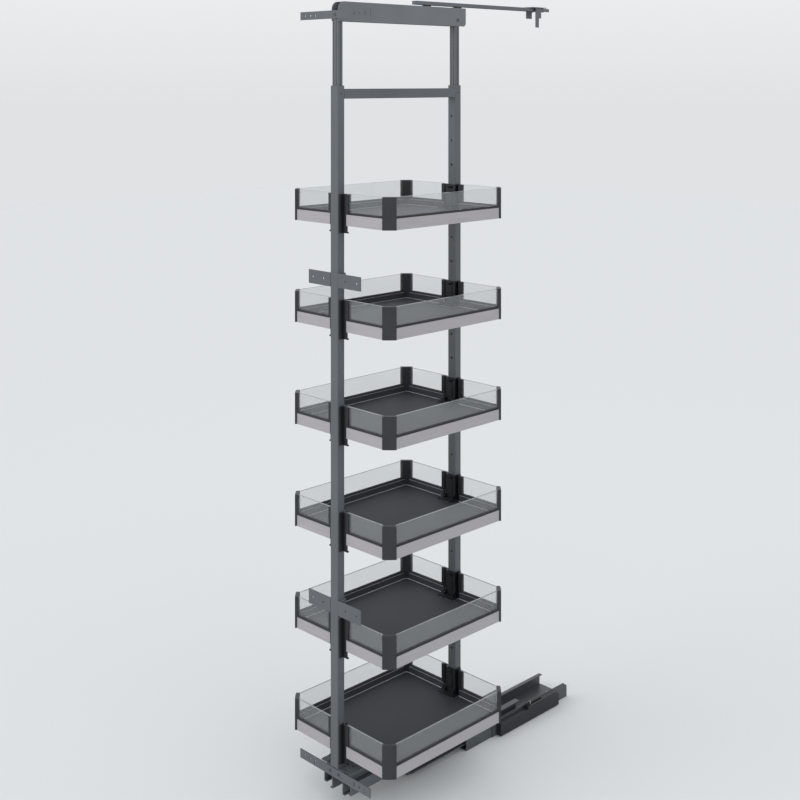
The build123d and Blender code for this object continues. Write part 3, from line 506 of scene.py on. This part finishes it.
for number in TRAYS:
    tray = f"tray_{number}"
    piece(f"{tray}_clamp_details", clamp_details(number), "clamp_black", tray,
          bevel=0.25 * MM)
print("levers, ribs and gussets added")

# %% [markdown]
# The frame is held with socket screws, whose sockets show as dark six-sided marks. A real recess would mean
# cutting the CAD's screws, so a thin turned mark stands on each head instead: painted shade for the socket.
# Its place comes from the box of the screws, or of the plate or upright that they go through, so that it
# can't float.

# %% Screw sockets
SOCKET_BIG, SOCKET_MEDIUM, SOCKET_SMALL = 2.2 * MM, 2.0 * MM, 1.8 * MM      # radii
SOCKET = ((0, -0.05), (1, -0.05), (1, 0.15), (0.8, 0.15), (0, 0.12))
PLATE_SCREW = 15 * MM                           # the bottom plate's screws, from the middle
LOCK_DROP = 20 * MM                             # the lock screws, below the upright's top
STRAP_SHARE = 0.75                              # of a door plate's height, where its screw sits
STRAP_HEAD = 3.0 * MM                           # how far that screw stands out of the plate


def socket(centre, direction, radius):
    """The six-sided mark of a socket, painted shade for its recess; its profile is in shares of the radius,
    and in millimetres.
    """
    return turned([(r * radius, h * MM) for r, h in SOCKET], centre, direction, segments=6)


upright_ys = [middle("front_upright", Y), middle("rear_upright", Y)]
screws_low, screws_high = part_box("top_screws")
screw_z = middle("top_screws", Z)
sockets = [socket((0, screws_low.y, screw_z), (0, -1, 0), SOCKET_BIG)]
for side in (-1, 1):
    for y in upright_ys:
        sockets.append(socket((side * screws_high.x, y, screw_z), (side, 0, 0), SOCKET_MEDIUM))
piece("top_screw_sockets", sockets, "painted_socket_shade", "top_section")

screw_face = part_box("frame_screws")[0].y
plate_z = middle("bottom_front_plate", Z)
upright_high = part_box("front_upright")[1]
sockets = []
for side in (-1, 1):
    sockets.append(socket((side * PLATE_SCREW, screw_face, plate_z), (0, -1, 0), SOCKET_BIG))
for y in upright_ys:
    centre = (upright_high.x, y, upright_high.z - LOCK_DROP)
    sockets.append(socket(centre, (1, 0, 0), SOCKET_MEDIUM))
for low, high in (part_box("upper_door_plate"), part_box("lower_door_plate")):
    centre = (0, high.y + STRAP_HEAD, low.z + STRAP_SHARE * (high.z - low.z))
    sockets.append(socket(centre, (0, 1, 0), SOCKET_SMALL))
piece("frame_screw_sockets", sockets, "painted_socket_shade", "frame")
print("sockets placed at uprights", [round(y, 3) for y in upright_ys])

# %% [markdown]
# The slide rails are held with pressed rivets. A rivet is a low turned dome, sunk a little into the face
# that carries it. The cabinet rail has a row along its middle, and the carriage has a row on each side.

# %% Rivets
RUNNER_RIVET, CARRIAGE_RIVET, RIVET_HEIGHT = 3.5 * MM, 3.0 * MM, 1.0 * MM   # two radii, one height
DOME = ((0, -0.2), (1, -0.2), (1, 0.3), (0.8, 0.8), (0.45, 1), (0, 1))
RUNNER_FLOOR = 2 * MM                           # the top of the cabinet rail's floor
RUNNER_PLACES, CARRIAGE_PLACES = (-150, -60, 60, 185), (-120, 0, 120)       # in millimetres along them
CARRIAGE_ROW = 34 * MM                          # a row's distance from the middle


def rivet(centre, radius):
    """A low dome on a level face; its profile is in shares of the radius and the height."""
    return turned([(r * radius, h * RIVET_HEIGHT) for r, h in DOME], centre, (0, 0, 1))


runner_rivets = [rivet((0, y * MM, RUNNER_FLOOR), RUNNER_RIVET) for y in RUNNER_PLACES]
piece("runner_rivets", runner_rivets, "bright_steel", "root")
carriage_y, carriage_top = sum(upright_ys) / 2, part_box("carriage_rail")[1].z
carriage_rivets = []
for side in (-1, 1):
    for along in CARRIAGE_PLACES:
        centre = (side * CARRIAGE_ROW, carriage_y + along * MM, carriage_top)
        carriage_rivets.append(rivet(centre, CARRIAGE_RIVET))
piece("carriage_rivets", carriage_rivets, "bright_steel", "frame")
print(len(runner_rivets), "rivets on the runner and", len(carriage_rivets), "on the carriage")

# %% [markdown]
# The damper's case has lengthwise ribs on its open side, which stiffen the thin moulding. Short prisms with
# softened edges, sunk a little into the case, do for them. The catch ends in a pale pad, which is a piece
# of its own because it rides with the catch.

# %% Ribs of the damper case
LOW_RIBS, HIGH_RIB = (9 * MM, 17 * MM, 25 * MM), 35.5 * MM                  # heights
RIB_INSET = 4 * MM                              # from the ends of the case
LOW_LENGTH, ROUNDED = 114 * MM, 14 * MM         # the case's lower part, and its rounded rear end
RIB_BAND = ((-0.3, -1.2), (0.7, -0.7), (0.7, 0.7), (-0.3, 1.2))
PAD_LENGTH, PAD_SINK = 3 * MM, 0.2 * MM
PAD = ((-2.4, -7), (2.4, -7), (2.4, -1), (1.4, 0), (-1.4, 0), (-2.4, -1))

case_low, case_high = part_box("damper_housing")
runs = [(z, case_low.y + RIB_INSET, case_high.y - RIB_INSET) for z in LOW_RIBS]
runs.append((HIGH_RIB, case_low.y + LOW_LENGTH + RIB_INSET, case_high.y - ROUNDED))
ribs = [prism(placed(RIB_BAND, case_high.x, z), "Y", start, end) for z, start, end in runs]
piece("damper_ribs", ribs, "damper_plastic", "root", bevel=0.2 * MM)

catch_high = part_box("damper_catch")[1]
pad_outline = placed(PAD, middle("damper_catch", X), catch_high.z)
pad = prism(pad_outline, "Y", catch_high.y - PAD_SINK, catch_high.y + PAD_LENGTH)
piece("catch_pad", [pad], "pale_plastic", "catch", bevel=0.3 * MM)
print("damper ribs:", len(ribs))

# %% [markdown]
# The floor is plain and pale, and so large that its edge is lost. It has no gloss, because a flat floor seen
# at a low angle would mirror the room and show a bright band. It gets a little darker with distance, which
# is painted shade.

# %% Floor
HALF_FLOOR = 14.0
FADE = 7.0                                      # the gradient's reach, in metres
FLOOR_DROP = 0.5 * MM                           # keeps it clear of the rail's underside
# painted shade: the floor's colour goes from NEAR_TONE close by to the darker FAR_TONE further away
FAR_TONE, NEAR_TONE = (0.790, 0.806, 0.814), (0.800, 0.823, 0.825)
tree, bsdf, coords = shader("pale_floor", NEAR_TONE, roughness=1.0)
bsdf.inputs["Specular IOR Level"].default_value = 0.0
near = tree.nodes.new("ShaderNodeTexGradient")
near.gradient_type = "SPHERICAL"
shrink = tree.nodes.new("ShaderNodeMapping")
shrink.inputs["Scale"].default_value = (1 / FADE, 1 / FADE, 1 / FADE)
tree.links.new(coords, shrink.inputs["Vector"])
tree.links.new(shrink.outputs["Vector"], near.inputs["Vector"])
tint(tree, bsdf, near.outputs["Fac"], dark=FAR_TONE, light=NEAR_TONE)
floor_mesh = bpy.data.meshes.new("floor")
floor_mesh.from_pydata([(-HALF_FLOOR, -HALF_FLOOR, 0), (HALF_FLOOR, -HALF_FLOOR, 0),
                        (HALF_FLOOR, HALF_FLOOR, 0), (-HALF_FLOOR, HALF_FLOOR, 0)], [], [(0, 1, 2, 3)])
floor_mesh.materials.append(finishes["pale_floor"])
floor = bpy.data.objects.new("floor", floor_mesh)
bpy.context.scene.collection.objects.link(floor)
floor.location.z = -FLOOR_DROP
floor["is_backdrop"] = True
print("floor", 2 * HALF_FLOOR, "m square")

# %% [markdown]
# The room is a bright world light, a little darker near the horizon, where it has the floor's tone. It
# fills the shadows, as the white room in the photograph does. A ramp over the height of the direction of
# view makes it, which needs no picture of a room.

# %% Room light
HORIZON, UPPER = (0.745, 0.762, 0.775, 1), (0.835, 0.842, 0.855, 1)
RISE_START, RISE_END = -0.02, 0.07              # the direction's height, where the tone starts and ends
world = bpy.data.worlds.new("pale_room")
world.use_nodes = True
sky = world.node_tree
direction = sky.nodes.new("ShaderNodeTexCoord")
parts = sky.nodes.new("ShaderNodeSeparateXYZ")
rise = sky.nodes.new("ShaderNodeMapRange")
rise.inputs["From Min"].default_value = RISE_START
rise.inputs["From Max"].default_value = RISE_END
ramp = sky.nodes.new("ShaderNodeValToRGB")
ramp.color_ramp.elements[0].color = HORIZON
ramp.color_ramp.elements[1].color = UPPER
sky.links.new(direction.outputs["Generated"], parts.inputs["Vector"])
sky.links.new(parts.outputs["Z"], rise.inputs["Value"])
sky.links.new(rise.outputs["Result"], ramp.inputs["Fac"])
sky.links.new(ramp.outputs["Color"], sky.nodes["Background"].inputs["Color"])
bpy.context.scene.world = world
print("world", world.name)

# %% [markdown]
# Two broad, soft lamps give the tubes a lighter front face and a darker side face. They are sun lamps,
# because a near lamp would light the top of the tall frame more than its foot, and leave a pool of light
# on the floor.

# %% Lamps


def lamp(name, place, strength, spread_angle):
    """A far, broad lamp: it shines from a place towards the origin, alike all over the room."""
    data = bpy.data.lights.new(name, "SUN")
    data.energy = strength
    data.angle = math.radians(spread_angle)
    obj = bpy.data.objects.new(name, data)
    bpy.context.scene.collection.objects.link(obj)
    obj.location = place
    obj.rotation_euler = (-Vector(place)).to_track_quat("-Z", "Y").to_euler()


lamp("key", (-2.0, -5.2, 1.7), strength=0.82, spread_angle=50)
lamp("fill", (5.2, -0.2, 1.6), strength=0.30, spread_angle=60)
print("room lit by", len(bpy.data.lights), "lamps")

# %% [markdown]
# The photograph was taken level, at eye height, with a shifted lens, so the uprights stay parallel. The
# camera stands where a fit to the trays' corners puts it, looks level, and shifts its picture down.

# %% Camera
camera_data = bpy.data.cameras.new("camera")
camera_data.lens = 56.55
camera_data.sensor_width = 36.0
camera_data.shift_y = -0.398
camera = bpy.data.objects.new("camera", camera_data)
bpy.context.scene.collection.objects.link(camera)
camera.location = (2.2713, -2.6517, 1.7555)
camera.rotation_euler = (math.radians(90), 0, math.radians(45.34))
bpy.context.scene.camera = camera
bpy.context.scene.view_settings.view_transform = "Standard"
print("camera at", tuple(round(v, 2) for v in camera.location))

# %% Sizes and finish
low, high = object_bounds()
print("visual box", [round(v, 4) for v in high - low])
